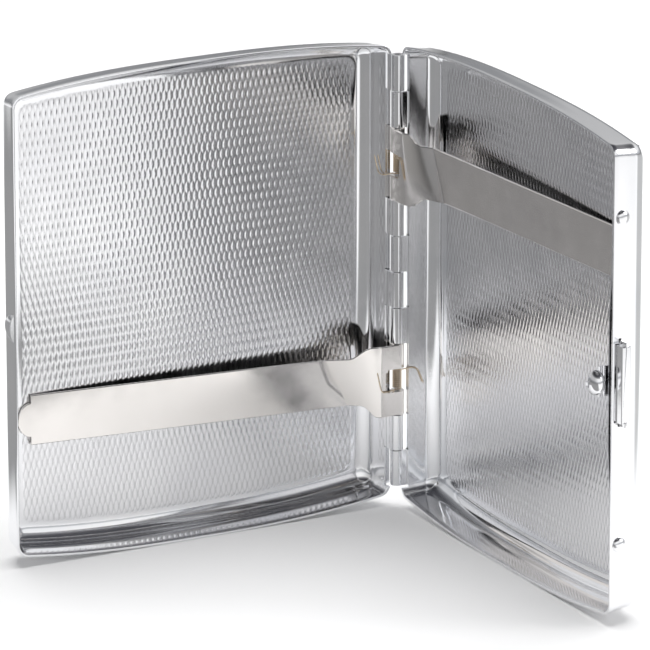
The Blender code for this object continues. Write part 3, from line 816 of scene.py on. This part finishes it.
def smooth_step(tree, value, start, end, low=0.0, high=1.0):
    """Smooth change from low at the start to high at the end."""
    span = tree.nodes.new("ShaderNodeMapRange")
    span.interpolation_type = "SMOOTHSTEP"
    for name, number in (("From Min", start), ("From Max", end), ("To Min", low), ("To Max", high)):
        span.inputs[name].default_value = number
    tree.links.new(value, span.inputs["Value"])
    return span.outputs["Result"]


def along(tree, place_sockets, way):
    """Distance of a place along a level direction."""
    return math_node(tree, "ADD", math_node(tree, "MULTIPLY", place_sockets["X"], way[0]),
                     math_node(tree, "MULTIPLY", place_sockets["Y"], way[1]))


def make_floor():
    """Pale floor, white round the case and greyer at both sides and towards the camera: light and shade
    painted into its colour, darkest in front on the left.
    """
    bm = bmesh.new()
    bmesh.ops.create_grid(bm, x_segments=1, y_segments=1, size=6.0)
    mesh = bpy.data.meshes.new("floor")
    bm.to_mesh(mesh)
    bm.free()
    floor = bpy.data.objects.new("floor", mesh)
    bpy.context.scene.collection.objects.link(floor)
    material = bpy.data.materials.new("pale_floor")
    material.use_nodes = True
    tree = material.node_tree
    shader = tree.nodes["Principled BSDF"]
    coordinate = tree.nodes.new("ShaderNodeTexCoord")
    split = tree.nodes.new("ShaderNodeSeparateXYZ")
    tree.links.new(coordinate.outputs["Object"], split.inputs["Vector"])
    across, ahead = (along(tree, split.outputs, way) for way in (ACROSS, AHEAD))
    # Painted shade towards the camera, darkest on the camera's left
    front = smooth_step(tree, ahead, *FRONT_AHEAD)
    front_tone = smooth_step(tree, across, *FRONT_ACROSS, FLOOR_FRONT_LEFT_SHADE, FLOOR_FRONT)
    left = math_node(tree, "MULTIPLY", smooth_step(tree, across, *LEFT_ACROSS),
                     smooth_step(tree, ahead, *LEFT_AHEAD))
    right = math_node(tree, "MULTIPLY", smooth_step(tree, across, *RIGHT_ACROSS),
                      smooth_step(tree, ahead, *RIGHT_AHEAD))
    tone = math_node(tree, "ADD", math_node(tree, "MULTIPLY", front, front_tone),
                     math_node(tree, "MULTIPLY", math_node(tree, "SUBTRACT", 1.0, front), FLOOR_WHITE))
    # Painted shade at the far left and the far right
    for mask, side_shade in ((left, FLOOR_LEFT_SHADE), (right, FLOOR_RIGHT_SHADE)):
        aside = math_node(tree, "MULTIPLY", mask, math_node(tree, "SUBTRACT", side_shade, tone))
        tone = math_node(tree, "ADD", tone, aside)
    shade = tree.nodes.new("ShaderNodeCombineColor")
    for channel in shade.inputs:
        tree.links.new(tone, channel)
    tree.links.new(shade.outputs["Color"], shader.inputs["Base Color"])
    shader.inputs["Roughness"].default_value = 0.7
    shader.inputs["Specular IOR Level"].default_value = 0.1
    mesh.materials.append(material)


def make_world():
    """Soft studio surround: a bright band round the case under a dark ceiling."""
    world = bpy.data.worlds.new("studio")
    world.use_nodes = True
    tree = world.node_tree
    background = tree.nodes["Background"]
    coordinate = tree.nodes.new("ShaderNodeTexCoord")
    split = tree.nodes.new("ShaderNodeSeparateXYZ")
    tree.links.new(coordinate.outputs["Generated"], split.inputs["Vector"])
    ramp = tree.nodes.new("ShaderNodeValToRGB")
    stops = ramp.color_ramp.elements
    stops[0].position, stops[0].color = 0.0, (*SKY[0][1], 1)
    stops[1].position, stops[1].color = 1.0, (*SKY[-1][1], 1)
    for position, colour in SKY[1:-1]:
        stops.new(position).color = (*colour, 1)
    tree.links.new(split.outputs["Z"], ramp.inputs["Fac"])
    side = along(tree, split.outputs, SKY_WAY)
    power = smooth_step(tree, side, *SKY_CHANGE, SKY_BACK, SKY_FRONT)
    tree.links.new(ramp.outputs["Color"], background.inputs["Color"])
    tree.links.new(power, background.inputs["Strength"])
    bpy.context.scene.world = world


def area_light(name, spot, aim, size, power):
    light = bpy.data.lights.new(name, "AREA")
    light.shape = "RECTANGLE"
    light.size, light.size_y = size
    light.energy = power
    thing = bpy.data.objects.new(name, light)
    bpy.context.scene.collection.objects.link(thing)
    thing.location = spot
    thing.rotation_mode = "QUATERNION"
    thing.rotation_quaternion = (Vector(aim) - Vector(spot)).to_track_quat("-Z", "Y")
    return thing


def make_lights():
    """Softbox above, which shows in no reflection, and a weaker one in front on the right."""
    aim = (0, 0, 0.05)
    top = area_light("top_softbox", (0.1, 0.1, 0.9), aim, (0.9, 0.9), 10.5)
    top.visible_glossy = False
    area_light("right_softbox", (1.1, -0.7, 0.7), aim, (0.5, 0.7), 4.0)


CAMERA_AZIMUTH, CAMERA_ELEVATION = math.radians(-28.19), math.radians(17.20)
CAMERA_AIM = (1.6 * MM, 0.7 * MM, 51.6 * MM)
CAMERA_DISTANCE = 1.392
CAMERA_LENS, CAMERA_SENSOR = 417.2, 36.0


def make_camera():
    """Long lens, in front of the left tray and above it."""
    azimuth, elevation = CAMERA_AZIMUTH, CAMERA_ELEVATION
    back = Vector((
        math.sin(azimuth) * math.cos(elevation),
        -math.cos(azimuth) * math.cos(elevation),
        math.sin(elevation),
    ))
    data = bpy.data.cameras.new("camera")
    data.lens = CAMERA_LENS
    data.sensor_width = CAMERA_SENSOR
    data.clip_start, data.clip_end = 0.1, 30.0
    camera = bpy.data.objects.new("camera", data)
    bpy.context.scene.collection.objects.link(camera)
    camera.location = Vector(CAMERA_AIM) + back * CAMERA_DISTANCE
    camera.rotation_mode = "QUATERNION"
    camera.rotation_quaternion = (-back).to_track_quat("-Z", "Y")
    bpy.context.scene.camera = camera


make_trays()
make_leaves()
make_arm("lower_card_strip", "lower_card_arm", "lower_arm", False, LOWER_TIP_LIFT)
make_arm("upper_card_strip", "upper_card_arm", "upper_arm", True, 0.0)
make_spring("lower_spring", "lower_card_arm", "right_half", "lower_arm_spring", False)
make_spring("upper_spring", "upper_card_arm", "left_half", "upper_arm_spring", True)
make_button()
make_leaf_spring()
make_tongue()
make_rivet("rivet_upper", 1)
make_rivet("rivet_lower", -1)
make_floor()
make_world()
make_lights()
make_camera()
bpy.context.scene.view_settings.view_transform = "Standard"
